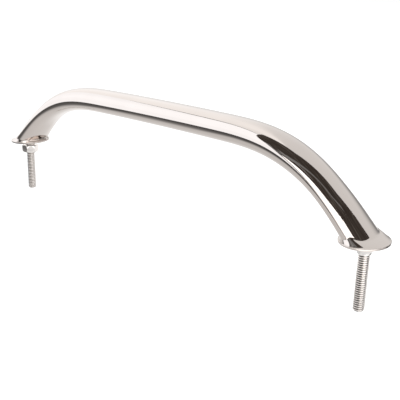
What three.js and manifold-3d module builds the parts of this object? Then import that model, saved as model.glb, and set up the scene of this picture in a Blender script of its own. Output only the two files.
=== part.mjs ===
/**
 * Stainless grab rail for a boat deck: a bent oval tube welded to two flanged feet, each foot standing
 * on a 1/4-20 stud that goes down through the deck. One hex nut sits on the left stud.
 *
 * Millimetres. The deck plane is z = 0, the rail lies along X, the studs point down.
 */
import * as THREE from 'three';
import { mergeVertices } from 'three/addons/utils/BufferGeometryUtils.js';
import Module from 'manifold-3d';

const wasm = await Module();
wasm.setup();
const { Manifold, Mesh: ManifoldMesh } = wasm;

// ---------------------------------------------------------------- driving dimensions
const STUD_CENTRES = 304.8; // 12 in between the two studs
const GAP = 0.3; // left between neighbouring pieces

// Centreline of the tube: a barely arched grip, a bend that eases in and out, a short straight leg.
const CENTRELINE_HEIGHT = 44.9; // above the deck at mid-span
const CROWN_RADIUS = 3920; // arch of the grip
const GRIP_HALF = 50.2; // mid-span to the start of the bend
const BEND_RADIUS = 91.2; // tightest radius of the bend
const BEND_EASE = 41.8; // length over which the bend tightens, and opens again
const LEG_ANGLE = THREE.MathUtils.degToRad(45.6); // slope of the leg below horizontal

// Oval section: 3/4 in tube, squeezed flatter through the bend and spread wider towards the deck.
const GRIP_WIDTH = 22.2;
const GRIP_DEPTH = 15.9;
const DECK_WIDTH = 28.3;
const LEG_DEPTH = 11.7;
const FLATTENED_AT = 0.57; // share of the height lost by the time the section is down to LEG_DEPTH
const SQUARENESS = 2.2; // superellipse exponent of the section, 2 is a true ellipse
const TUBE_WALL = 1.5;

// Foot: an oval flange, wider across the rail than along it, with a neck that meets the tube.
const NECK_HEIGHT = 10.0; // deck to the neck's end, on the centreline
const SPIGOT_LENGTH = 8.0; // part of the neck that enters the tube
const FOOT_CENTRE = 151.8; // where the leg lands, a little inboard of the stud
const FLANGE_HALF_LENGTH = 13.3;
const FLANGE_HALF_WIDTH = 15.6;
const RIM_HEIGHT = 1.3; // the flange's top slopes up from its rim
const SEAT_INNER_RADIUS = 8.4; // the flange bears on the deck outside this circle, clear of the weld
const CONE_TOP = 3.6; // height at which that slope meets the leg at its sides
const HEEL_DROP = 1.5; // the crease is this much lower at the heel, under the leg
const TOE_DROP = 0.4; // and at the toe, above the leg
const CORNER_RISE = 1.6; // and higher just outboard of the sides, where the slope is steepest
const CREASE = 0.8; // height and reach of the fillet where they meet
const EDGE_ROUND = 0.4;
const WELD_WIDTH = 1.6; // seam weld between tube and neck

// Stud, its fillet weld, and the nut.
const STUD_RADIUS = 3.175;
const STUD_TIP = -39.6;
const STUD_SEAT = 2.0; // depth the stud is let into the foot
const STUD_CHAMFER = 0.7;
const NUT_ACROSS_FLATS = 11.11;
const NUT_HEIGHT = 5.56;
const NUT_TOP = -3.7;
const NUT_CHAMFER = THREE.MathUtils.degToRad(30);
const THREAD_CLEARANCE = 0.08; // between the nut's bore and the stud
const RIGHT_WELD = [[7.4, -0.3], [6.3, -1.5], [5.4, -3.0], [4.6, -4.3], [4.1, -5.2], [3.8, -6.2], [3.7, -6.6]];
const LEFT_WELD = [[6.4, -0.3], [5.3, -1.0], [4.5, -1.9], [4.0, -2.7], [3.8, -3.3]];

const AROUND = 28; // points round a section, a multiple of four
const STEP = 0.25; // integration step along the centreline

// ---------------------------------------------------------------- materials
const steel = (color, roughness) => new THREE.MeshStandardMaterial({ color, roughness, metalness: 1 });
const POLISHED = steel(0xd2d0cc, 0.08);
const WELD_BEAD = steel(0xb9b4ac, 0.35);
const STUD_STEEL = steel(0xbfbcb6, 0.28);
const NUT_STEEL = steel(0xc6c3bd, 0.2);

// ---------------------------------------------------------------- centreline
const CROWN_ANGLE = GRIP_HALF / CROWN_RADIUS;
const BEND_LENGTH = BEND_RADIUS * (LEG_ANGLE - CROWN_ANGLE) + BEND_EASE;

function curvature(s) {
  if (s < GRIP_HALF) return 1 / CROWN_RADIUS;
  const t = s - GRIP_HALF;
  const ease = Math.min(t / BEND_EASE, (BEND_LENGTH - t) / BEND_EASE, 1);
  return Math.max(ease, 0) / BEND_RADIUS;
}

/** Points of the right half, from mid-span down to the deck, each with its slope angle. */
function traceCentreline() {
  const points = [{ s: 0, x: 0, z: CENTRELINE_HEIGHT, angle: 0 }];
  while (points.at(-1).z > 0) {
    const { s, x, z, angle } = points.at(-1);
    const bent = angle + curvature(s + STEP / 2) * STEP;
    const mean = (angle + bent) / 2;
    points.push({ s: s + STEP, x: x + Math.cos(mean) * STEP, z: z - Math.sin(mean) * STEP, angle: bent });
  }
  return points;
}
const trace = traceCentreline();

/** Station at signed arc length s: centre, normal (outward, in the XZ plane), half width, half depth. */
function station(s) {
  const side = Math.sign(s) || 1;
  const i = Math.min(Math.abs(s) / STEP, trace.length - 1.001);
  const low = trace[Math.floor(i)];
  const high = trace[Math.floor(i) + 1];
  const mix = (key) => THREE.MathUtils.lerp(low[key], high[key], i - Math.floor(i));
  const [x, z, angle] = [mix('x'), mix('z'), mix('angle')];
  const fall = 1 - z / CENTRELINE_HEIGHT;
  const flattened = THREE.MathUtils.smoothstep(fall, 0, FLATTENED_AT);
  return {
    centre: new THREE.Vector3(side * x, 0, z),
    normal: new THREE.Vector3(side * Math.sin(angle), 0, Math.cos(angle)),
    halfWidth: THREE.MathUtils.lerp(GRIP_WIDTH, DECK_WIDTH, fall) / 2,
    halfDepth: THREE.MathUtils.lerp(GRIP_DEPTH, LEG_DEPTH, flattened) / 2,
  };
}

/** Arc length at which the centreline passes height z. */
function arcAtHeight(z) {
  return trace.find((point) => point.z <= z).s;
}

const power = (value) => Math.sign(value) * Math.abs(value) ** (2 / SQUARENESS);
const angles = Array.from({ length: AROUND }, (_, k) => (2 * Math.PI * k) / AROUND);

/** Ring of the oval section at arc length s, drawn in by inset. */
function sectionRing(s, inset = 0) {
  const { centre, normal, halfWidth, halfDepth } = station(s);
  return angles.map((a) =>
    centre.clone()
      .addScaledVector(normal, (halfDepth - inset) * power(Math.sin(a)))
      .setY((halfWidth - inset) * power(Math.cos(a))));
}

/** Level oval ring of the right foot about x. */
function levelRing(x, halfLength, halfWidth, z) {
  return angles.map((a) => new THREE.Vector3(x + halfLength * Math.sin(a), halfWidth * Math.cos(a), z));
}

// ---------------------------------------------------------------- meshes
function signedVolume(points, faces) {
  return faces.reduce((sum, [a, b, c]) =>
    sum + points[a].dot(new THREE.Vector3().crossVectors(points[b], points[c])) / 6, 0);
}

/** Closed body over a stack of rings: joined back to the first ring when looped, capped otherwise. */
function loft(rings, looped = false) {
  const count = rings[0].length;
  const points = rings.flat();
  const faces = [];
  const bands = looped ? rings.length : rings.length - 1;
  for (let i = 0; i < bands; i++) {
    const here = i * count;
    const next = ((i + 1) % rings.length) * count;
    for (let k = 0; k < count; k++) {
      const l = (k + 1) % count;
      faces.push([here + k, here + l, next + l], [here + k, next + l, next + k]);
    }
  }
  if (!looped) {
    [[0, true], [(rings.length - 1) * count, false]].forEach(([start, first]) => {
      const middle = points.length;
      const ring = points.slice(start, start + count);
      points.push(ring.reduce((sum, p) => sum.add(p), new THREE.Vector3()).divideScalar(count));
      for (let k = 0; k < count; k++) {
        const l = (k + 1) % count;
        faces.push(first ? [middle, start + l, start + k] : [middle, start + k, start + l]);
      }
    });
  }
  if (signedVolume(points, faces) < 0) faces.forEach((face) => face.reverse());
  return toGeometry(points, faces);
}

function toGeometry(points, faces) {
  const geometry = new THREE.BufferGeometry();
  geometry.setAttribute('position', new THREE.Float32BufferAttribute(points.flatMap((p) => p.toArray()), 3));
  geometry.setIndex(faces.flat());
  geometry.computeVertexNormals();
  return geometry;
}

/** The same body on the other side of the YZ plane. */
function mirrored(geometry) {
  const copy = geometry.clone().scale(-1, 1, 1);
  const index = copy.index.array;
  for (let i = 0; i < index.length; i += 3) [index[i], index[i + 1]] = [index[i + 1], index[i]];
  copy.computeVertexNormals();
  return copy;
}

/** Solid of revolution about Z from [radius, z] points that start and end on the axis, or that loop. */
function turned(profile, segments = AROUND) {
  const loops = profile.every(([radius]) => radius > 0);
  const outline = loops ? [...profile, profile[0]] : profile;
  const geometry = new THREE.LatheGeometry(outline.map(([r, z]) => new THREE.Vector2(r, z)), segments);
  return closed(geometry.rotateX(Math.PI / 2));
}

function closed(geometry) {
  geometry.deleteAttribute('normal');
  geometry.deleteAttribute('uv');
  const merged = mergeVertices(geometry, 1e-4);
  const position = merged.attributes.position;
  const points = Array.from({ length: position.count }, (_, i) =>
    new THREE.Vector3().fromBufferAttribute(position, i));
  const faces = [];
  for (let i = 0; i < merged.index.count; i += 3) {
    const face = [0, 1, 2].map((k) => merged.index.getX(i + k));
    if (new Set(face).size === 3) faces.push(face);
  }
  if (signedVolume(points, faces) < 0) faces.forEach((face) => face.reverse());
  return toGeometry(points, faces);
}

function toManifold(geometry) {
  return new Manifold(new ManifoldMesh({
    numProp: 3,
    vertProperties: Float32Array.from(geometry.attributes.position.array),
    triVerts: Uint32Array.from(geometry.index.array),
  }));
}

function fromManifold(body) {
  const { vertProperties, triVerts } = body.getMesh();
  const geometry = new THREE.BufferGeometry();
  geometry.setAttribute('position', new THREE.Float32BufferAttribute(vertProperties, 3));
  geometry.setIndex(Array.from(triVerts));
  geometry.computeVertexNormals();
  return geometry;
}

// ---------------------------------------------------------------- tube and its seam welds
const neckArc = arcAtHeight(NECK_HEIGHT);
const tubeArc = neckArc - 2 * GAP - WELD_WIDTH;

function spaced(from, to, spacing) {
  const count = Math.max(1, Math.ceil((to - from) / spacing));
  return Array.from({ length: count }, (_, i) => from + ((to - from) * i) / count);
}

function railTube() {
  const half = [...spaced(0, GRIP_HALF, 17.2), ...spaced(GRIP_HALF, tubeArc, 5.2), tubeArc];
  const stops = [...half.slice(1).reverse().map((s) => -s), ...half];
  const outside = stops.map((s) => sectionRing(s));
  const inside = stops.map((s) => sectionRing(s, TUBE_WALL)).reverse();
  return loft([...outside, ...inside], true);
}

function seamWeld() {
  const [from, to] = [tubeArc + GAP, neckArc - GAP];
  return loft([sectionRing(from), sectionRing(to), sectionRing(to, TUBE_WALL), sectionRing(from, TUBE_WALL)], true);
}

// ---------------------------------------------------------------- foot
/** Ring on the straight leg's surface, each of its points slid along the leg to its own height. */
function legRing(heights) {
  const down = new THREE.Vector3(Math.cos(LEG_ANGLE), 0, -Math.sin(LEG_ANGLE));
  return sectionRing(arcAtHeight(CONE_TOP)).map((p, k) => p.addScaledVector(down, (heights[k] - p.z) / down.z));
}

/** Height of the crease round the leg: lowest at the heel, highest just outboard of the two sides. */
function creaseHeights() {
  return Array.from({ length: AROUND }, (_, k) => {
    const turn = (2 * Math.PI * k) / AROUND;
    const outward = Math.max(Math.sin(turn), 0);
    const heel = Math.max(-Math.sin(turn), 0);
    return CONE_TOP - HEEL_DROP * heel ** 2 - TOE_DROP * outward ** 2
      + CORNER_RISE * 4.8 * outward * Math.cos(turn) ** 8;
  });
}

/** Rings from the leg through a small fillet and down the sloping top of the flange. */
function flangeTopRings(rim) {
  const heights = creaseHeights();
  const start = legRing(heights.map((z) => z + CREASE));
  const corner = legRing(heights);
  const end = corner.map((p, k) => p.clone().lerp(rim[k], Math.min(CREASE / p.distanceTo(rim[k]), 0.5)));
  const fillet = [0, 0.33, 0.67, 1].map((t) =>
    start.map((p, k) => p.clone().multiplyScalar((1 - t) ** 2)
      .addScaledVector(corner[k], 2 * t * (1 - t))
      .addScaledVector(end[k], t ** 2)));
  return [...fillet, end.map((p, k) => p.clone().lerp(rim[k], 0.5)), rim];
}

function foot() {
  const flangeRing = (inset, z) =>
    levelRing(FOOT_CENTRE, FLANGE_HALF_LENGTH - inset, FLANGE_HALF_WIDTH - inset, z);
  const roundRing = (radius, z) => levelRing(STUD_CENTRES / 2, radius, radius, z);
  const holeRadius = STUD_RADIUS + GAP;
  const spigotInset = TUBE_WALL + GAP;
  return loft([
    sectionRing(neckArc - SPIGOT_LENGTH, spigotInset + 0.6),
    sectionRing(neckArc - SPIGOT_LENGTH + 1, spigotInset),
    sectionRing(neckArc - SPIGOT_LENGTH / 2, spigotInset),
    sectionRing(neckArc, spigotInset),
    sectionRing(neckArc),
    ...flangeTopRings(flangeRing(EDGE_ROUND, RIM_HEIGHT)),
    flangeRing(EDGE_ROUND * 0.3, RIM_HEIGHT - EDGE_ROUND * 0.3),
    flangeRing(0, RIM_HEIGHT - EDGE_ROUND),
    flangeRing(0, 0.3),
    flangeRing(0.3, 0),
    roundRing(SEAT_INNER_RADIUS, 0),
    roundRing(holeRadius, 0),
    roundRing(holeRadius, STUD_SEAT + GAP),
  ]);
}

// ---------------------------------------------------------------- stud, weld, nut
function stud() {
  return turned([
    [0, STUD_SEAT],
    [STUD_RADIUS, STUD_SEAT],
    [STUD_RADIUS, STUD_TIP + STUD_CHAMFER],
    [STUD_RADIUS - STUD_CHAMFER, STUD_TIP],
    [0, STUD_TIP],
  ], 24);
}

function studWeld(profile) {
  const bore = STUD_RADIUS + GAP;
  return turned([...profile, [bore, profile.at(-1)[1]], [bore, profile[0][1]]]);
}

/** Hexagon with corners on X, both faces chamfered by a cone, bored through. */
function hexNut() {
  const corner = NUT_ACROSS_FLATS / Math.sqrt(3);
  const relief = (corner - NUT_ACROSS_FLATS / 2) * 1.25;
  const rise = relief * Math.tan(NUT_CHAMFER);
  const bottom = NUT_TOP - NUT_HEIGHT;
  const prism = new THREE.CylinderGeometry(corner, corner, NUT_HEIGHT, 6)
    .rotateX(Math.PI / 2).rotateZ(Math.PI / 2).translate(0, 0, bottom + NUT_HEIGHT / 2);
  const envelope = turned([
    [0, bottom],
    [corner - relief, bottom],
    [corner + 0.02, bottom + rise],
    [corner + 0.02, NUT_TOP - rise],
    [corner - relief, NUT_TOP],
    [0, NUT_TOP],
  ], 48);
  const bore = turned([
    [0, bottom - 1],
    [STUD_RADIUS + THREAD_CLEARANCE, bottom - 1],
    [STUD_RADIUS + THREAD_CLEARANCE, NUT_TOP + 1],
    [0, NUT_TOP + 1],
  ], 24);
  return fromManifold(toManifold(closed(prism)).intersect(toManifold(envelope)).subtract(toManifold(bore)));
}

// ---------------------------------------------------------------- assembly
const rail = new THREE.Group();
rail.name = 'grab_rail';

function add(name, geometry, material, x = 0) {
  const mesh = new THREE.Mesh(geometry, material.clone());
  mesh.name = name;
  mesh.position.x = x;
  rail.add(mesh);
}

add('rail_tube', railTube(), POLISHED);

const rightSeam = seamWeld();
const rightFoot = foot();
add('seam_weld_right', rightSeam, POLISHED);
add('seam_weld_left', mirrored(rightSeam), POLISHED);
add('foot_right', rightFoot, POLISHED);
add('foot_left', mirrored(rightFoot), POLISHED);
add('stud_right', stud(), STUD_STEEL, STUD_CENTRES / 2);
add('stud_left', stud(), STUD_STEEL, -STUD_CENTRES / 2);
add('stud_weld_right', studWeld(RIGHT_WELD), WELD_BEAD, STUD_CENTRES / 2);
add('stud_weld_left', studWeld(LEFT_WELD), WELD_BEAD, -STUD_CENTRES / 2);
add('nut_left', hexNut(), NUT_STEEL, -STUD_CENTRES / 2);

export default rail;
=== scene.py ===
"""Looks of a stainless grab rail: polished oval tube, two welded feet, two threaded studs and one nut.

Shapes are worked out in millimetres and stored in metres, in the frame of the CAD model: the deck plane is
z = 0, the rail lies along X, the studs point down.
"""

import math

import bmesh
import bpy
import numpy as np
from mathutils import Matrix, Vector


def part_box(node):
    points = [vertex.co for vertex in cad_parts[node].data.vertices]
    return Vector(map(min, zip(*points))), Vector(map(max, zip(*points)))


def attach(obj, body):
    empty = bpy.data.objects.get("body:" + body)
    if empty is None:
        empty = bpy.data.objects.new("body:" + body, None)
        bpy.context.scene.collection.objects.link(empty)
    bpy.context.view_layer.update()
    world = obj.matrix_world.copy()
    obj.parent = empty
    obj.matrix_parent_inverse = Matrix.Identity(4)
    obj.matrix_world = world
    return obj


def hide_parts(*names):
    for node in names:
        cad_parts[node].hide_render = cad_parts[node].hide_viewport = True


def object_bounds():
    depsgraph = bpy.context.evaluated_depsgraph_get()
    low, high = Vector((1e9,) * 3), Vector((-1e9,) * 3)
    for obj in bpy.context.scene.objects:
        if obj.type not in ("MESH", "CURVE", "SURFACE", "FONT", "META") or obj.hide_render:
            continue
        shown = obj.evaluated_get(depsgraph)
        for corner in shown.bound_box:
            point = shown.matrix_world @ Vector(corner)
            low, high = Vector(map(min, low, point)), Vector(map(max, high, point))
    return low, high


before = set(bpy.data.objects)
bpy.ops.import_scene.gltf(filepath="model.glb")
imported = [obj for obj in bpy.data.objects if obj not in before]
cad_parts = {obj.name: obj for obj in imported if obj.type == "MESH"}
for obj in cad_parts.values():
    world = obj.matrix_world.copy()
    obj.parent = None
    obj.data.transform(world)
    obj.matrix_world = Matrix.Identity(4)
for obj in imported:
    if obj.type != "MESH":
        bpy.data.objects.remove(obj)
cad_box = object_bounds()

# ---------------------------------------------------------------- sizes, in millimetres
MM = 0.001


def node_box(node):
    """Lowest and highest corner of a CAD node, in millimetres."""
    low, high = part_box(node)
    return np.array(low) / MM, np.array(high) / MM


tube_high = node_box("rail_tube")[1]
foot_high = node_box("foot_right")[1]
stud_low, stud_high = node_box("stud_right")
nut_low, nut_high = node_box("nut_left")
WELD_BOTTOM = node_box("stud_weld_right")[0][2]
SHORT_WELD_BOTTOM = node_box("stud_weld_left")[0][2]

GRIP_WIDTH, DECK_WIDTH = 22.2, 28.3
GRIP_DEPTH, LEG_DEPTH = 15.9, 11.7
SQUARENESS = 2.2
FLATTENED_AT = 0.57
TUBE_WALL = 1.5
CENTRELINE_HEIGHT = tube_high[2] - GRIP_DEPTH / 2
CROWN_RADIUS = 3920
GRIP_HALF = 50.2
BEND_RADIUS, BEND_EASE = 91.2, 41.8
LEG_ANGLE = math.radians(45.6)

GAP = 0.3
NECK_HEIGHT = 10.0
SPIGOT_LENGTH = 8.0
WELD_WIDTH = 1.6
FLANGE_HALF_LENGTH = 13.3
FLANGE_HALF_WIDTH = foot_high[1]
FOOT_CENTRE = foot_high[0] - FLANGE_HALF_LENGTH
RIM_HEIGHT = 1.3  # the flange's top slopes up from its rim
CONE_TOP = 3.6  # height at which that slope meets the leg at its sides
# The crease round the leg is this much lower at the heel and the toe, and higher outboard of the sides.
HEEL_DROP, TOE_DROP, CORNER_RISE = 1.5, 0.4, 1.6
CORNER_SCALE = 4.8  # brings the greatest value of sin * cos ** 8 to one
CREASE = 0.8  # height and reach of the fillet along the crease
EDGE_ROUND, UNDER_ROUND = 0.4, 0.3  # rounding of the rim above and below
SEAT_INNER_RADIUS = 8.4

STUD_X = (stud_low[0] + stud_high[0]) / 2
STUD_RADIUS = (stud_high[0] - stud_low[0]) / 2
STUD_TIP, STUD_TOP = stud_low[2], stud_high[2]
STUD_CHAMFER = 0.7
PITCH = 1.27
THREAD_DEPTH = 0.6134 * PITCH
NUT_CORNER = (nut_high[0] - nut_low[0]) / 2
NUT_BOTTOM, NUT_TOP = nut_low[2], nut_high[2]
NUT_BORE = STUD_RADIUS + 0.08

AROUND = 128
# A ground weld meets its neighbours at a hairline, this deep and this wide, and stands a trace proud.
GROOVE, GROOVE_REACH, BEAD_RISE = 0.002, 0.05, 0.0008


# ---------------------------------------------------------------- centreline and section
def trace_centreline(step=0.05):
    """Arc length, x, z and slope angle along the right half, from mid-span to the deck."""
    s = np.arange(0, 260, step)
    middle = s[:-1] + step / 2
    crown_angle = GRIP_HALF / CROWN_RADIUS
    bend_length = BEND_RADIUS * (LEG_ANGLE - crown_angle) + BEND_EASE
    t = middle - GRIP_HALF
    ease = np.clip(np.minimum(t, bend_length - t) / BEND_EASE, 0, 1)
    curvature = np.where(middle < GRIP_HALF, 1 / CROWN_RADIUS, ease / BEND_RADIUS)
    angle = np.concatenate([[0], np.cumsum(curvature * step)])
    mean = (angle[:-1] + angle[1:]) / 2
    x = np.concatenate([[0], np.cumsum(np.cos(mean) * step)])
    z = CENTRELINE_HEIGHT - np.concatenate([[0], np.cumsum(np.sin(mean) * step)])
    keep = z > -2
    return s[keep], x[keep], z[keep], angle[keep]


TRACE = trace_centreline()


def arc_at_height(z):
    return float(np.interp(-z, -TRACE[2], TRACE[0]))


def signed_power(value):
    return np.sign(value) * np.abs(value) ** (2 / SQUARENESS)


TURN = np.arange(AROUND) * 2 * math.pi / AROUND


def section_ring(s, inset=0.0):
    """Ring of the oval section at signed arc length s, drawn in by inset."""
    side = -1 if s < 0 else 1
    x, z, angle = (np.interp(abs(s), TRACE[0], column) for column in TRACE[1:])
    fall = 1 - z / CENTRELINE_HEIGHT
    share = min(max(fall / FLATTENED_AT, 0), 1)
    flattened = share * share * (3 - 2 * share)
    half_width = (GRIP_WIDTH + (DECK_WIDTH - GRIP_WIDTH) * fall) / 2 - inset
    half_depth = (GRIP_DEPTH + (LEG_DEPTH - GRIP_DEPTH) * flattened) / 2 - inset
    rise = half_depth * signed_power(np.sin(TURN))
    return np.stack([
        side * (x + math.sin(angle) * rise),
        half_width * signed_power(np.cos(TURN)),
        z + math.cos(angle) * rise,
    ], axis=1)


def level_ring(x, half_length, half_width, z):
    return np.stack([
        x + half_length * np.sin(TURN), half_width * np.cos(TURN), np.full(AROUND, z),
    ], axis=1)


# ---------------------------------------------------------------- mesh helpers
def make_piece(name, points, faces, uvs=None, sharp=None):
    """A smooth-shaded object from millimetre points; edges steeper than sharp degrees stay crisp."""
    points = np.asarray(points, float)
    mesh = bpy.data.meshes.new(name)
    mesh.from_pydata((points * MM).tolist(), [], faces)
    if uvs is not None:
        layer = mesh.uv_layers.new(name="Finish")
        layer.data.foreach_set("uv", np.asarray(uvs, np.float32).ravel())
    mesh.validate()
    mesh.shade_smooth()
    if sharp is not None:
        mesh.set_sharp_from_angle(angle=math.radians(sharp))
    piece = bpy.data.objects.new(name, mesh)
    bpy.context.scene.collection.objects.link(piece)
    return piece


def signed_volume(points, faces):
    total = 0.0
    for face in faces:
        a = points[face[0]]
        for b, c in zip(face[1:-1], face[2:]):
            total += np.dot(a, np.cross(points[b], points[c]))
    return total / 6


def turned_over(faces, uvs):
    """The same faces seen from their other side, with their coordinates."""
    turned, cursor = [], 0
    for face in faces:
        turned += uvs[cursor:cursor + len(face)][::-1]
        cursor += len(face)
    return [face[::-1] for face in faces], turned


def loft(rings, looped=False):
    """Points, faces and finish coordinates (metres along, metres around) of a closed body over rings."""
    rings = np.asarray(rings)
    count, around = rings.shape[:2]
    points = rings.reshape(-1, 3).tolist()
    middles = rings.mean(axis=1)
    steps = np.linalg.norm(np.diff(rings, axis=0), axis=2).mean(axis=1)
    along = np.concatenate([[0], np.cumsum(steps)]) * MM
    girth = np.arange(around + 1) / around * 0.06
    faces, uvs = [], []
    bands = count if looped else count - 1
    for i in range(bands):
        j = (i + 1) % count
        u0, u1 = along[i], along[i] + (along[j] - along[i] if j else 0.001)
        for k in range(around):
            l = (k + 1) % around
            faces.append((i * around + k, i * around + l, j * around + l, j * around + k))
            uvs += [(u0, girth[k]), (u0, girth[k + 1]), (u1, girth[k + 1]), (u1, girth[k])]
    if not looped:
        for start, first in ((0, True), ((count - 1) * around, False)):
            centre = len(points)
            points.append(middles[start // around].tolist())
            for k in range(around):
                l = (k + 1) % around
                pair = (start + l, start + k) if first else (start + k, start + l)
                faces.append((centre, *pair))
                uvs += [(along[start // around], girth[k])] * 3
    points = np.array(points)
    if signed_volume(points, faces) < 0:
        faces, uvs = turned_over(faces, uvs)
    return points, faces, uvs


def mirrored(shape):
    points, faces, uvs = shape
    return points * [-1, 1, 1], *turned_over(faces, uvs)


def shifted(shape, x):
    return shape[0] + [x, 0, 0], *shape[1:]


# ---------------------------------------------------------------- tube and seam welds
NECK_ARC = arc_at_height(NECK_HEIGHT)
SEAM_ARCS = (NECK_ARC - GAP - WELD_WIDTH, NECK_ARC - GAP)  # where the weld bead starts and ends


def tube_shape():
    end = SEAM_ARCS[0]
    stops = np.concatenate([np.linspace(-end + GROOVE_REACH, end - GROOVE_REACH, 420), [end]])
    stops = np.concatenate([[-end], stops])
    insets = np.zeros(len(stops))
    insets[[0, -1]] = GROOVE
    outside = [section_ring(s, inset) for s, inset in zip(stops, insets)]
    inside = [section_ring(s, TUBE_WALL) for s in np.linspace(end, -end, 120)]
    return loft(outside + inside, looped=True)


def seam_shape():
    start, end = SEAM_ARCS
    stops = [(start, GROOVE), (start + GROOVE_REACH, 0)]
    stops += [(s, -BEAD_RISE * math.sin(math.pi * (s - start) / WELD_WIDTH))
              for s in np.linspace(start + 0.2, end - 0.2, 7)]
    stops += [(end - GROOVE_REACH, 0), (end, GROOVE), (end, TUBE_WALL), (start, TUBE_WALL)]
    return loft([section_ring(*stop) for stop in stops], looped=True)


# ---------------------------------------------------------------- feet
def leg_ring(heights):
    """Ring on the straight leg's surface, each of its points slid along the leg to its own height."""
    ring = section_ring(arc_at_height(CONE_TOP))
    down = np.array([math.cos(LEG_ANGLE), 0, -math.sin(LEG_ANGLE)])
    return ring + down * ((heights - ring[:, 2]) / down[2])[:, None]


def crease_heights():
    """Height of the crease round the leg: lowest at the heel, highest just outboard of the two sides."""
    outward, heel = np.maximum(np.sin(TURN), 0), np.maximum(-np.sin(TURN), 0)
    return (CONE_TOP - HEEL_DROP * heel ** 2 - TOE_DROP * outward ** 2
            + CORNER_RISE * CORNER_SCALE * outward * np.cos(TURN) ** 8)


def foot_shape():
    def flange_ring(inset, z):
        return level_ring(FOOT_CENTRE, FLANGE_HALF_LENGTH - inset, FLANGE_HALF_WIDTH - inset, z)

    def round_ring(radius, z):
        return level_ring(STUD_X, radius, radius, z)

    spigot = TUBE_WALL + GAP
    heights = crease_heights()
    start, corner = leg_ring(heights + CREASE), leg_ring(heights)
    flange_top = flange_ring(EDGE_ROUND, RIM_HEIGHT)
    room = np.linalg.norm(flange_top - corner, axis=1, keepdims=True)
    reach = np.minimum(CREASE / room, 0.5)
    foot_of_fillet = corner + (flange_top - corner) * reach
    neck = section_ring(NECK_ARC)
    rings = [
        section_ring(NECK_ARC - SPIGOT_LENGTH, spigot + 0.6),
        section_ring(NECK_ARC - SPIGOT_LENGTH + 1, spigot),
        section_ring(NECK_ARC - SPIGOT_LENGTH / 2, spigot),
        section_ring(SEAM_ARCS[1], spigot),
        section_ring(SEAM_ARCS[1], GROOVE),
        section_ring(SEAM_ARCS[1] + GROOVE_REACH),
    ]
    for t in np.linspace(0, 1, 14)[:-1]:
        rings.append(neck * (1 - t) + start * t)
    for t in np.linspace(0, 1, 16):
        rings.append(start * (1 - t) ** 2 + corner * 2 * t * (1 - t) + foot_of_fillet * t ** 2)
    for t in np.linspace(0, 1, 7)[1:]:
        rings.append(foot_of_fillet * (1 - t) + flange_top * t)
    for turn in np.linspace(0, math.pi / 2, 9)[1:]:
        rings.append(flange_ring(EDGE_ROUND * (1 - math.sin(turn)),
                                 RIM_HEIGHT - EDGE_ROUND * (1 - math.cos(turn))))
    for turn in np.linspace(0, math.pi / 2, 5):
        rings.append(flange_ring(UNDER_ROUND * (1 - math.cos(turn)), UNDER_ROUND * (1 - math.sin(turn))))
    rings += [
        round_ring(SEAT_INNER_RADIUS, 0),
        round_ring(STUD_RADIUS + GAP, 0),
        round_ring(STUD_RADIUS + GAP, STUD_TOP + GAP),
    ]
    return loft(rings)


# ---------------------------------------------------------------- studs
# Radius over one pitch of a 60 degree thread: flat crest, straight flanks, rounded root.
THREAD_PROFILE = (
    (0.0, 0.0), (0.05, 0.0), (0.09, 0.05), (0.16, 0.27), (0.25, 0.56), (0.34, 0.84), (0.39, 0.95),
    (0.46, 1.0), (0.54, 1.0), (0.61, 0.95), (0.66, 0.84), (0.75, 0.56), (0.84, 0.27), (0.91, 0.05),
    (0.95, 0.0),
)


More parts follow.
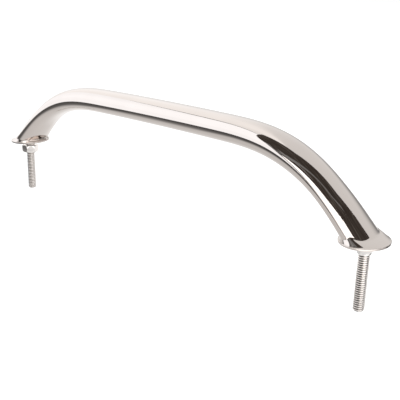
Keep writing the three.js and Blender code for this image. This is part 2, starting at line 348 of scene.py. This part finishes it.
def stud_piece(name, x, phase, front):
    """A right-hand threaded rod: rows of faces follow the helix, both ends are cut flat and capped.

    Its coordinates for the finish are the share of the thread's height and the turn from azimuth front,
    where the band of light is painted.
    """
    per_turn, rows = 64, len(THREAD_PROFILE)
    turns = math.ceil((STUD_TOP - STUD_TIP) / PITCH) + 3
    base = STUD_TIP - 2 * PITCH + phase * PITCH
    bm = bmesh.new()
    grid = []
    for i in range(per_turn * turns + 1):
        angle = 2 * math.pi * i / per_turn
        for share, depth in THREAD_PROFILE:
            z = base + PITCH * (i / per_turn + share)
            radius = STUD_RADIUS - THREAD_DEPTH * depth
            radius = min(radius, STUD_RADIUS - STUD_CHAMFER + max(z - STUD_TIP, 0))
            grid.append(bm.verts.new((x + radius * math.cos(angle), radius * math.sin(angle), z)))
    last = per_turn * turns
    for i in range(last):
        for k in range(rows):
            if k + 1 < rows:
                a, b = i * rows + k + 1, (i + 1) * rows + k + 1
            elif i + 1 + per_turn <= last:
                a, b = (i + per_turn) * rows, (i + 1 + per_turn) * rows
            else:
                continue
            bm.faces.new((grid[i * rows + k], grid[(i + 1) * rows + k], grid[b], grid[a]))
    for z, out in ((STUD_TOP, 1), (STUD_TIP, -1)):
        bmesh.ops.bisect_plane(
            bm, geom=bm.verts[:] + bm.edges[:] + bm.faces[:], dist=1e-5,
            plane_co=(0, 0, z), plane_no=(0, 0, out), clear_outer=True,
        )
    for z in (STUD_TOP, STUD_TIP):
        rim = [e for e in bm.edges if e.is_boundary and all(abs(v.co.z - z) < 1e-3 for v in e.verts)]
        middle = bm.verts.new((x, 0, z))
        for edge in rim:
            bm.faces.new((*edge.verts, middle))
    bmesh.ops.remove_doubles(bm, verts=bm.verts, dist=1e-4)
    bmesh.ops.recalc_face_normals(bm, faces=bm.faces)
    bmesh.ops.scale(bm, vec=(MM, MM, MM), verts=bm.verts)
    mesh = bpy.data.meshes.new(name)
    bm.to_mesh(mesh)
    bm.free()
    spots = np.array([v.co[:] for v in mesh.vertices]) / MM - [x, 0, 0]
    height = (np.hypot(spots[:, 0], spots[:, 1]) - STUD_RADIUS + THREAD_DEPTH) / THREAD_DEPTH
    layer = mesh.uv_layers.new(name="Thread")
    for face in mesh.polygons:
        middle = spots[list(face.vertices)].mean(axis=0)
        turn = (math.degrees(math.atan2(middle[0], -middle[1])) - front) / 360 % 1
        for corner in face.loop_indices:
            layer.data[corner].uv = (height[mesh.loops[corner].vertex_index], turn)
    mesh.shade_smooth()
    mesh.set_sharp_from_angle(angle=math.radians(40))
    piece = bpy.data.objects.new(name, mesh)
    bpy.context.scene.collection.objects.link(piece)
    return piece


# ---------------------------------------------------------------- stud welds
def spline(points, count):
    """Catmull-Rom curve through the points."""
    points = np.asarray(points, float)
    padded = np.vstack([2 * points[0] - points[1], points, 2 * points[-1] - points[-2]])
    out = []
    for t in np.linspace(0, len(points) - 1, count):
        i = min(int(t), len(points) - 2)
        u = t - i
        p0, p1, p2, p3 = padded[i:i + 4]
        out.append(0.5 * (2 * p1 + (p2 - p0) * u + (2 * p0 - 5 * p1 + 4 * p2 - p3) * u ** 2
                          + (3 * p1 - p0 - 3 * p2 + p3) * u ** 3))
    return out


def weld_shape(profile, ripples, depth):
    """A fillet of weld round the stud, with the faint ripples of the pass that laid it."""
    curve = spline(profile, 40)
    top = curve[0][1]
    rings = []
    for i, (radius, z) in enumerate(curve):
        fade = (math.sin(math.pi * min(i / 10, 1) / 2)
                * math.sin(math.pi * min((len(curve) - 1 - i) / 6, 1) / 2))
        ripple = depth * fade * np.abs(np.sin((TURN + 0.15 * math.sin(3 * z)) * ripples / 2))
        r = radius - ripple
        rings.append(np.stack([r * np.cos(TURN), r * np.sin(TURN), np.full(AROUND, z)], axis=1))
    for z in (curve[-1][1], top):
        rings.append(np.stack([STUD_RADIUS * np.cos(TURN), STUD_RADIUS * np.sin(TURN), np.full(AROUND, z)],
                              axis=1))
    return loft(rings, looped=True)


# ---------------------------------------------------------------- nut
def nut_shape():
    """Hexagon with corners on X, both faces chamfered, corners slightly rounded, threaded bore."""
    half_flat = NUT_CORNER * math.cos(math.pi / 6)
    rounding = 0.22
    corner_centre = NUT_CORNER - rounding / math.cos(math.pi / 6)
    offsets = (-25, -20, -15, -10, -6, -3, -1.6, -1.0, -0.65, -0.3, 0,
               0.3, 0.65, 1.0, 1.6, 3, 6, 10, 15, 20, 25, 30)
    turns = np.radians([60 * corner + offset for corner in range(6) for offset in offsets])
    from_corner = (turns + math.pi / 6) % (math.pi / 3) - math.pi / 6
    plain = half_flat / np.cos(math.pi / 6 - np.abs(from_corner))
    inside = np.clip(rounding ** 2 - (corner_centre * np.sin(from_corner)) ** 2, 0, None)
    rounded = corner_centre * np.cos(from_corner) + np.sqrt(inside)
    tangent = corner_centre * np.sin(np.abs(from_corner)) < rounding / 2
    outer = np.where(tangent, rounded, plain)
    relief = (NUT_CORNER - half_flat) * 1.25
    land = NUT_CORNER - relief
    drop = np.maximum(outer - land, 0) * math.tan(math.radians(30))

    def ring(radius, z):
        radius, z = np.broadcast_to(radius, turns.shape), np.broadcast_to(z, turns.shape)
        return np.stack([radius * np.cos(turns), radius * np.sin(turns), z], axis=1)

    thread_height, face_step = 0.34, 0.6
    mouth = NUT_BORE + 0.38
    edge = 0.06
    rings = [ring(mouth, NUT_TOP), ring(mouth + face_step, NUT_TOP), ring(land - edge, NUT_TOP)]
    rings += [ring(land + (outer - land) * t, NUT_TOP - drop * t) for t in (0.03, 0.5, 0.97)]
    rings += [ring(outer, NUT_TOP - drop - edge), ring(outer, NUT_BOTTOM + drop + edge)]
    rings += [ring(land + (outer - land) * t, NUT_BOTTOM + drop * t) for t in (0.97, 0.5, 0.03)]
    rings += [ring(land - edge, NUT_BOTTOM), ring(mouth + face_step, NUT_BOTTOM), ring(mouth, NUT_BOTTOM)]
    for z in np.linspace(NUT_BOTTOM + 0.36, NUT_TOP - 0.36, 46):
        phase = (z / PITCH - turns / (2 * math.pi)) % 1
        rings.append(ring(NUT_BORE + thread_height * (1 - np.abs(2 * phase - 1)), z))
    return loft(rings, looped=True)


# ---------------------------------------------------------------- materials
def new_material(name):
    material = bpy.data.materials.new(name)
    material.use_nodes = True
    tree = material.node_tree
    shader = tree.nodes["Principled BSDF"]
    shader.inputs["Metallic"].default_value = 1.0
    return material, tree, shader


def add_node(tree, kind, **values):
    node = tree.nodes.new(kind)
    for key, value in values.items():
        if key in node.inputs:
            node.inputs[key].default_value = value
        else:
            setattr(node, key, value)
    return node


def ramp(tree, source, stops):
    node = tree.nodes.new("ShaderNodeValToRGB")
    elements = node.color_ramp.elements
    while len(elements) < len(stops):
        elements.new(0.5)
    for element, (position, colour) in zip(elements, stops):
        element.position = position
        element.color = (*colour, 1)
    tree.links.new(source, node.inputs["Fac"])
    return node.outputs["Color"]


def remap(tree, source, low, high, start=0.3, end=0.7):
    node = add_node(tree, "ShaderNodeMapRange")
    for key, value in (("From Min", start), ("From Max", end), ("To Min", low), ("To Max", high)):
        node.inputs[key].default_value = value
    tree.links.new(source, node.inputs["Value"])
    return node.outputs["Result"]


def coordinates(tree, space, scale):
    source = tree.nodes.new("ShaderNodeTexCoord")
    mapping = add_node(tree, "ShaderNodeMapping")
    mapping.inputs["Scale"].default_value = scale
    tree.links.new(source.outputs[space], mapping.inputs["Vector"])
    return mapping.outputs["Vector"]


def noise(tree, vector, scale=1.0, detail=4.0, roughness=0.6):
    node = add_node(tree, "ShaderNodeTexNoise")
    for key, value in (("Scale", scale), ("Detail", detail), ("Roughness", roughness)):
        node.inputs[key].default_value = value
    tree.links.new(vector, node.inputs["Vector"])
    return node.outputs["Fac"]


def add_relief(tree, shader, height, distance, strength):
    bump = add_node(tree, "ShaderNodeBump")
    bump.inputs["Distance"].default_value = distance
    bump.inputs["Strength"].default_value = strength
    tree.links.new(height, bump.inputs["Height"])
    tree.links.new(bump.outputs["Normal"], shader.inputs["Normal"])


def steel(name, dark, light, rough, space="UV", lines=(30, 2600, 1), cloud=40.0, relief=0.00001,
          strength=0.05):
    """Steel whose finish follows the lines of its polishing, with faint clouds in colour and gloss."""
    material, tree, shader = new_material(name)
    fine = noise(tree, coordinates(tree, space, lines), detail=6, roughness=0.65)
    clouds = noise(tree, coordinates(tree, "Object", (cloud,) * 3), detail=3)
    tree.links.new(ramp(tree, clouds, [(0.3, dark), (0.7, light)]), shader.inputs["Base Color"])
    tree.links.new(remap(tree, fine, *rough), shader.inputs["Roughness"])
    add_relief(tree, shader, fine, relief, strength)
    return material


MIRROR_DARK, MIRROR_LIGHT = (0.588, 0.536, 0.502), (0.612, 0.558, 0.524)
POLISHED = steel("polished_steel", MIRROR_DARK, MIRROR_LIGHT, (0.02, 0.05))
SEAM = steel("ground_seam", MIRROR_DARK, MIRROR_LIGHT, (0.025, 0.06))


def thread_steel(name, root, flank):
    """Crests painted near white as painted highlight, roots dark partly from grime and partly as painted
    shade, with a painted band of light along the stud at the front azimuth.

    The band is colour, not a reflection: it stays on the metal whatever lights it.
    """
    material, tree, shader = new_material(name)
    source = add_node(tree, "ShaderNodeUVMap", uv_map="Thread")
    split = tree.nodes.new("ShaderNodeSeparateXYZ")
    tree.links.new(source.outputs["UV"], split.inputs["Vector"])
    height, turn = split.outputs["X"], split.outputs["Y"]
    fine = noise(tree, coordinates(tree, "Object", (900, 900, 2500)), detail=6, roughness=0.65)
    # Dark roots are partly grime and partly painted shade; the near-white crests are painted highlight.
    plain = ramp(tree, height, [(0.1, root), (0.45, flank), (0.8, (0.93, 0.885, 0.85))])
    # Colours of the painted band of light: lighter roots, flanks and crests.
    painted_band_colours = ramp(tree, height, [(0.05, (0.66, 0.62, 0.59)), (0.5, (0.76, 0.735, 0.72)),
                                 (0.9, (0.94, 0.90, 0.87))])
    side = ramp(tree, turn, [(0.0, (0.35,) * 3), (0.03, (0.04,) * 3), (0.11, (0.0,) * 3), (0.17, (0.5,) * 3),
                             (0.3, (0.7,) * 3), (0.75, (0.8,) * 3), (0.93, (0.9,) * 3)])
    mix = add_node(tree, "ShaderNodeMix", data_type="RGBA")
    tree.links.new(side, mix.inputs["Factor"])
    tree.links.new(painted_band_colours, mix.inputs["A"])
    tree.links.new(plain, mix.inputs["B"])
    tree.links.new(mix.outputs["Result"], shader.inputs["Base Color"])
    tree.links.new(remap(tree, fine, 0.08, 0.2), shader.inputs["Roughness"])
    add_relief(tree, shader, fine, 0.00002, 0.2)
    return material


THREAD = thread_steel("thread_steel", (0.10, 0.088, 0.08), (0.34, 0.315, 0.30))
# A copy of the thread steel with roots and flanks painted lighter, as painted light on the left stud.
PAINTED_LIGHTER_THREAD = thread_steel("thread_steel_painted_lighter", (0.34, 0.31, 0.29), (0.52, 0.49, 0.465))
WELD = steel("weld_steel", (0.80, 0.77, 0.75), (0.88, 0.85, 0.83), (0.1, 0.2),
             space="Object", lines=(1500, 1500, 1500), cloud=500, relief=0.00004, strength=0.25)
NUT = steel("nut_steel", (0.86, 0.82, 0.79), (0.93, 0.89, 0.86), (0.04, 0.10),
            space="Object", lines=(350, 350, 3500), cloud=300, relief=0.00002, strength=0.15)


# ---------------------------------------------------------------- pieces
def place(piece, node, material, body="rail"):
    piece.data.materials.append(material)
    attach(piece, body)
    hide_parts(node)
    return piece


seam, foot = seam_shape(), foot_shape()
place(make_piece("tube_polished", *tube_shape(), sharp=50), "rail_tube", POLISHED)
place(make_piece("seam_bead_right", *seam, sharp=50), "seam_weld_right", SEAM)
place(make_piece("seam_bead_left", *mirrored(seam), sharp=50), "seam_weld_left", SEAM)
place(make_piece("foot_polished_right", *foot, sharp=50), "foot_right", POLISHED)
place(make_piece("foot_polished_left", *mirrored(foot), sharp=50), "foot_left", POLISHED)
# Azimuths of the painted bands: the side of each stud that faces the scene's camera.
BAND_RIGHT, BAND_LEFT = 28, 57
place(stud_piece("stud_thread_right", STUD_X, 0.0, BAND_RIGHT), "stud_right", THREAD)
# The left stud takes the copy of the thread steel painted lighter.
place(stud_piece("stud_thread_left", -STUD_X, 0.35, BAND_LEFT), "stud_left", PAINTED_LIGHTER_THREAD)

RIGHT_WELD = ((7.4, 0), (6.3, -1.5), (5.4, -3.0), (4.6, -4.3), (4.1, -5.2), (3.8, -6.2),
              (3.7, WELD_BOTTOM))
LEFT_WELD = ((6.4, 0), (5.3, -1.0), (4.5, -1.9), (4.0, -2.7), (3.8, SHORT_WELD_BOTTOM))
place(make_piece("stud_fillet_right", *shifted(weld_shape(RIGHT_WELD, 26, 0.05), STUD_X), sharp=50),
      "stud_weld_right", WELD)
place(make_piece("stud_fillet_left", *shifted(weld_shape(LEFT_WELD, 22, 0.05), -STUD_X), sharp=50),
      "stud_weld_left", WELD)
place(make_piece("nut_hex_left", *shifted(nut_shape(), -STUD_X), sharp=24),
      "nut_left", NUT, body="nut")


# ---------------------------------------------------------------- studio
CENTRE = Vector((0, 0, 0.03))
FLOOR_Z = cad_box[0].z - 0.00005
TENT_RADIUS, BOX_RADIUS, WALL_RADIUS, BACKDROP_RADIUS = 4.0, 3.6, 4.2, 12.0
STRIP_RADIUS, TABLE_EDGE_RADIUS = 3.4, 3.0
STREAK_RADIUS, LOW_STREAK_RADIUS = 3.9, 3.85
RAMP_TURN = 210  # turns the radial ramp so that its seam falls where no graded sheet is
TOP_LEVEL = 4.0  # brightest level that a ramp holds


def direction(azimuth, elevation):
    """Unit vector; azimuth 0 is -Y, 90 is +X, in degrees."""
    a, e = math.radians(azimuth), math.radians(elevation)
    return Vector((math.sin(a) * math.cos(e), -math.cos(a) * math.cos(e), math.sin(e)))


def stage_mesh(name, points, faces, material, location=(0, 0, 0), seen=False):
    """A sheet of the studio. Unseen sheets only light the object and show in its reflections."""
    mesh = bpy.data.meshes.new(name)
    mesh.from_pydata([tuple(p) for p in points], [], faces)
    mesh.materials.append(material)
    sheet = bpy.data.objects.new(name, mesh)
    sheet.location = location
    sheet.visible_camera = seen
    bpy.context.scene.collection.objects.link(sheet)
    return sheet


def emission_material(name, tint=(1, 1, 1)):
    material = bpy.data.materials.new(name)
    material.use_nodes = True
    tree = material.node_tree
    tree.nodes.clear()
    output = tree.nodes.new("ShaderNodeOutputMaterial")
    emission = tree.nodes.new("ShaderNodeEmission")
    emission.inputs["Color"].default_value = (*tint, 1)
    tree.links.new(emission.outputs["Emission"], output.inputs["Surface"])
    return material, tree, emission


def glow(name, level):
    material, tree, emission = emission_material(name)
    emission.inputs["Strength"].default_value = level
    return material


def level_ramp(tree, source, stops):
    """Light level read off a ramp, which stores levels as shares of the top one."""
    colour = ramp(tree, source, [(position, (level / TOP_LEVEL,) * 3) for position, level in stops])
    node = tree.nodes.new("ShaderNodeMath")
    node.operation = "MULTIPLY"
    node.inputs[1].default_value = TOP_LEVEL
    tree.links.new(colour, node.inputs[0])
    return node.outputs["Value"]


def mix_levels(tree, share, low, high):
    node = tree.nodes.new("ShaderNodeMix")
    node.data_type = "FLOAT"
    tree.links.new(share, node.inputs["Factor"])
    tree.links.new(low, node.inputs["A"])
    tree.links.new(high, node.inputs["B"])
    return node.outputs["Result"]


def smooth_share(tree, source, start, end):
    node = tree.nodes.new("ShaderNodeMapRange")
    node.interpolation_type = "SMOOTHSTEP"
    node.inputs["From Min"].default_value = start
    node.inputs["From Max"].default_value = end
    tree.links.new(source, node.inputs["Value"])
    return node.outputs["Result"]


def object_axes(tree):
    source = tree.nodes.new("ShaderNodeTexCoord")
    split = tree.nodes.new("ShaderNodeSeparateXYZ")
    tree.links.new(source.outputs["Object"], split.inputs["Vector"])
    return source.outputs["Object"], split.outputs


def dome_material(name, low_stops, high_stops, start, end, radius, tint=(1, 1, 1)):
    """Light that changes with azimuth, and from its low stops to its high stops with elevation."""
    material, tree, emission = emission_material(name, tint)
    position, axes = object_axes(tree)
    mapping = add_node(tree, "ShaderNodeMapping")
    mapping.inputs["Rotation"].default_value = (0, 0, math.radians(RAMP_TURN))
    gradient = tree.nodes.new("ShaderNodeTexGradient")
    gradient.gradient_type = "RADIAL"
    tree.links.new(position, mapping.inputs["Vector"])
    tree.links.new(mapping.outputs["Vector"], gradient.inputs["Vector"])
    turn = gradient.outputs["Fac"]

    def levels(stops):
        return level_ramp(tree, turn, [((azimuth / 360 + 0.25 + RAMP_TURN / 360) % 1, level)
                                       for azimuth, level in stops])

    low, high = (math.sin(math.radians(elevation)) * radius for elevation in (start, end))
    share = smooth_share(tree, axes["Z"], low, high)
    strength = mix_levels(tree, share, levels(low_stops), levels(high_stops))
    tree.links.new(strength, emission.inputs["Strength"])
    return material


def dome_patch(name, azimuths, low, high, radius, material, seen=False, rows=24):
    """Part of a dome round the object, between two elevations that depend on azimuth."""
    points, faces = [], []
    for azimuth in azimuths:
        for t in np.linspace(0, 1, rows + 1):
            points.append(direction(azimuth, low(azimuth) * (1 - t) + high(azimuth) * t) * radius)
    for i in range(len(azimuths) - 1):
        for k in range(rows):
            a, b = i * (rows + 1) + k, (i + 1) * (rows + 1) + k
            faces.append((a, b, b + 1, a + 1))
    return stage_mesh(name, points, faces, material, CENTRE, seen)


def straight_edge(steepness, middle):
    """Elevation over azimuth of a straight edge seen from the centre, highest at its middle azimuth."""
    def elevation(azimuth):
        rise = steepness * math.cos(math.radians(azimuth - middle))
        return math.degrees(math.atan(max(rise, 0.01)))
    return elevation


# The tent over the left and back ends in two straight edges, the softbox under it and the wall at the right
# front in one each; between them the room stays dark.
tent_front, tent_ridge = straight_edge(3.3, -110), straight_edge(14.8, -150)
box_top = straight_edge(1.64, -40)
wall_top = straight_edge(1.25, 55)


def tent_top(azimuth):
    return max(tent_front(azimuth), tent_ridge(azimuth))


tent_glow = dome_material(
    "tent_glow",
    [(-212, 0.55), (-190, 0.40), (-180, 0.30), (-172, 0.32), (-160, 0.50), (-150, 0.7), (-141, 0.88),
     (-134, 0.95), (-120, 1.05), (-97, 1.3), (-26, 1.5)],
    [(-212, 0.98), (-190, 1.0), (-170, 1.02), (-160, 1.05), (-150, 1.1), (-140, 1.28), (-130, 1.40),
     (-115, 1.43), (-97, 1.42), (-80, 1.32), (-50, 1.25)],
    4, 24, TENT_RADIUS)
dome_patch("tent_sheet", np.linspace(-212, -26, 94), lambda a: 0, tent_top, TENT_RADIUS, tent_glow)

box_glow = dome_material(
    "box_glow",
    [(-212, 1.5), (-97, 1.55), (-80, 1.6), (-50, 1.65), (-26, 1.62)],
    [(-212, 1.55), (-97, 1.56), (-80, 1.62), (-65, 1.72), (-26, 1.72)],
    4, 20, BOX_RADIUS, (0.97, 1, 1.04))
dome_patch("softbox_sheet", np.linspace(-97, -26, 72), lambda a: -30,
           lambda a: min(box_top(a), tent_top(a)), BOX_RADIUS, box_glow)

wall_glow = dome_material(
    "wall_glow", [(-26, 0.9), (0, 0.95), (60, 1.0)], [(-26, 2.4), (60, 2.4)], 3, 14, WALL_RADIUS)
dome_patch("wall_sheet", np.linspace(-24, 145, 86), lambda a: -2, wall_top, WALL_RADIUS, wall_glow)


def band(name, course, radius, level):
    """A narrow strip of even light; its course lists azimuth, elevation and width in degrees."""
    points = []
    azimuths, elevations, widths = np.array(course, float).T
    spots = np.linspace(0, len(course) - 1, 8 * len(course))
    index = range(len(course))
    centre = [direction(np.interp(s, index, azimuths), np.interp(s, index, elevations)) for s in spots]
    for i, s in enumerate(spots):
        tangent = (centre[min(i + 1, len(spots) - 1)] - centre[max(i - 1, 0)]).normalized()
        across = centre[i].cross(tangent).normalized()
        half = math.radians(float(np.interp(s, index, widths))) / 2
        points += [(centre[i] - across * half) * radius, (centre[i] + across * half) * radius]
    faces = [(2 * i, 2 * i + 1, 2 * i + 3, 2 * i + 2) for i in range(len(spots) - 1)]
    return stage_mesh(name, points, faces, glow(name, level), CENTRE)


def edge_course(edge, start, end, start_width, end_width):
    """Course of a band that follows a straight edge from one azimuth to another."""
    return [(a, edge(a), start_width + (end_width - start_width) * (a - start) / (end - start))
            for a in np.linspace(start, end, 12)]


band("softbox_rim", edge_course(box_top, -97, -84, 0.6, 2.4), STRIP_RADIUS, 0.25)
band("softbox_rim_front", edge_course(box_top, -84, -51, 2.4, 1.6), STRIP_RADIUS, 0.25)
band("sheet_gap", [(-25.5, 6, 2), (-25, 16, 2.5), (-27, 32, 3)], STRIP_RADIUS, 0.25)

# The camera sees plain paper. The metal mirrors this table just under it instead: bright behind the rail,
# darker in front of it on the left, where it ends at the foot of the softbox. Its ramps run along Y.
RAMP_BACK, RAMP_LENGTH = 0.35, 0.8
TABLE = ((-0.40, -0.12), (-0.148, -0.448), (0.2, -0.9), (3.9, -3.9), (3.9, 3.9),
         (-3.9, 3.9), (-3.9, 0.3), (-1.2, 0.1))


def table_material():
    material, tree, emission = emission_material("table_glow")
    position, axes = object_axes(tree)

    def metres(table):
        return [((y + RAMP_BACK) / RAMP_LENGTH, level) for y, level in table]

    span = tree.nodes.new("ShaderNodeMapRange")
    span.inputs["From Min"].default_value = -RAMP_BACK
    span.inputs["From Max"].default_value = 0.45
    tree.links.new(axes["Y"], span.inputs["Value"])
    lit = level_ramp(tree, span.outputs["Result"], metres(
        [(-0.30, 0.95), (-0.12, 0.86), (-0.02, 0.86), (0.03, 0.95), (0.08, 1.0), (0.15, 1.0), (0.40, 0.9)]))
    shade = level_ramp(tree, span.outputs["Result"], metres(
        [(-0.28, 0.09), (-0.20, 0.12), (-0.13, 0.2), (-0.10, 0.3), (-0.08, 0.45), (-0.062, 0.66),
         (-0.04, 0.86), (0.03, 0.95), (0.08, 1.0), (0.15, 1.0), (0.40, 0.9)]))
    corner = level_ramp(tree, span.outputs["Result"], metres(
        [(-0.15, 0.12), (-0.08, 0.17), (-0.048, 0.28), (-0.03, 0.5), (-0.015, 0.8), (0.02, 1.15),
         (0.15, 1.1)]))
    right = level_ramp(tree, span.outputs["Result"], metres(
        [(-0.30, 1.9), (-0.06, 1.9), (-0.005, 1.5), (0.03, 0.7), (0.18, 0.4), (0.40, 0.3)]))
    level = mix_levels(tree, smooth_share(tree, axes["X"], 0.0, -0.06), lit, shade)
    level = mix_levels(tree, smooth_share(tree, axes["X"], -0.145, -0.19), level, corner)
    level = mix_levels(tree, smooth_share(tree, axes["X"], 0.165, 0.20), level, right)
    tree.links.new(level, emission.inputs["Strength"])
    return material


stage_mesh("table_sheet", [(x, y, 0) for x, y in TABLE], [tuple(range(len(TABLE)))], table_material(),
           (0, 0, FLOOR_Z - 0.0005))
band("table_edge", [(-60, -15, 1.5), (-39, -12.5, 3), (-14, 0, 1)], TABLE_EDGE_RADIUS, 0.08)


def flag(name, start, end, low, high, level=0.06):
    """A small upright card, in millimetres, that keeps light off a stud or a nut face."""
    corners = [(*start, low), (*end, low), (*end, high), (*start, high)]
    return stage_mesh(name, np.array(corners) * MM, [(0, 1, 2, 3)], glow(name, level))


flag("corner_flag", (-345, -25), (-220, -110), -39, 1, 0.15)
flag("stud_flag_right_a", (137, -14), (137, 22), -39, -9, 0.7)
flag("stud_flag_right_b", (163, 26), (178, 18), -28, -6, 0.1)
flag("stud_flag_left_a", (-166, -8), (-168, 22), -39, -2, 0.1)
flag("heel_card", (-95, 30), (-30, 75), 5, 45, 1.2)
band("room_streak", edge_course(straight_edge(2.6, 60), -22, 125, 5, 2), STREAK_RADIUS, 0.24)
band("room_streak_low", edge_course(straight_edge(1.5, 45), -20, 30, 3, 1), LOW_STREAK_RADIUS, 0.38)

FLOOR_HALF, FLOOR_ROW = 30.0, 9
floor_steps = np.linspace(-FLOOR_HALF, FLOOR_HALF, FLOOR_ROW)
floor_corners = [i * FLOOR_ROW + j for i in range(FLOOR_ROW - 1) for j in range(FLOOR_ROW - 1)]
floor_paper = bpy.data.materials.new("floor_paper")
floor_paper.use_nodes = True
paper = floor_paper.node_tree.nodes["Principled BSDF"]
paper.inputs["Base Color"].default_value = (0.3, 0.3, 0.3, 1)
paper.inputs["Roughness"].default_value = 0.9
paper.inputs["Specular IOR Level"].default_value = 0.0
paper.inputs["Emission Color"].default_value = (1, 1, 1, 1)
paper.inputs["Emission Strength"].default_value = 0.95
floor = stage_mesh(
    "studio_floor", [(x, y, 0) for x in floor_steps for y in floor_steps],
    [(a, a + FLOOR_ROW, a + FLOOR_ROW + 1, a + 1) for a in floor_corners],
    floor_paper, (0, 0, FLOOR_Z), seen=True)
floor.visible_glossy = False
backdrop = dome_patch("studio_backdrop", np.linspace(-180, 180, 73), lambda a: -1, lambda a: 90,
                      BACKDROP_RADIUS, glow("backdrop_glow", 1.0), seen=True)
backdrop.visible_glossy = backdrop.visible_diffuse = False

world = bpy.data.worlds.new("studio_room")
bpy.context.scene.world = world
world.use_nodes = True
room = world.node_tree
background = room.nodes["Background"]
streaks = noise(room, coordinates(room, "Generated", (2.5, 5, 9)), scale=2.0, detail=5, roughness=0.7)
room.links.new(ramp(room, streaks, [(0.40, (0.050, 0.040, 0.034)), (0.55, (0.075, 0.064, 0.056)),
                                    (0.66, (0.16, 0.145, 0.13))]), background.inputs["Color"])

# ---------------------------------------------------------------- camera
PLACE = (0.314229, -0.306043, 0.131337)
FOCAL_LENGTH = 61.95
YAW, PITCH_DOWN, ROLL = (math.radians(v) for v in (42.41, 18.29, 1.44))
camera_data = bpy.data.cameras.new("view")
camera_data.sensor_width = 36
camera_data.lens = FOCAL_LENGTH
camera_data.clip_start, camera_data.clip_end = 0.01, 200
camera = bpy.data.objects.new("view", camera_data)
back = Vector((math.sin(YAW) * math.cos(PITCH_DOWN), -math.cos(YAW) * math.cos(PITCH_DOWN),
               math.sin(PITCH_DOWN)))
level = Vector((math.cos(YAW), math.sin(YAW), 0))
up = back.cross(level)
right = level * math.cos(ROLL) + up * math.sin(ROLL)
up = up * math.cos(ROLL) - level * math.sin(ROLL)
camera.matrix_world = Matrix((
    (right.x, up.x, back.x, PLACE[0]), (right.y, up.y, back.y, PLACE[1]), (right.z, up.z, back.z, PLACE[2]),
    (0, 0, 0, 1),
))
bpy.context.scene.collection.objects.link(camera)
bpy.context.scene.camera = camera
bpy.context.scene.view_settings.view_transform = "Standard"

# ---------------------------------------------------------------- view layer update
bpy.context.view_layer.update()
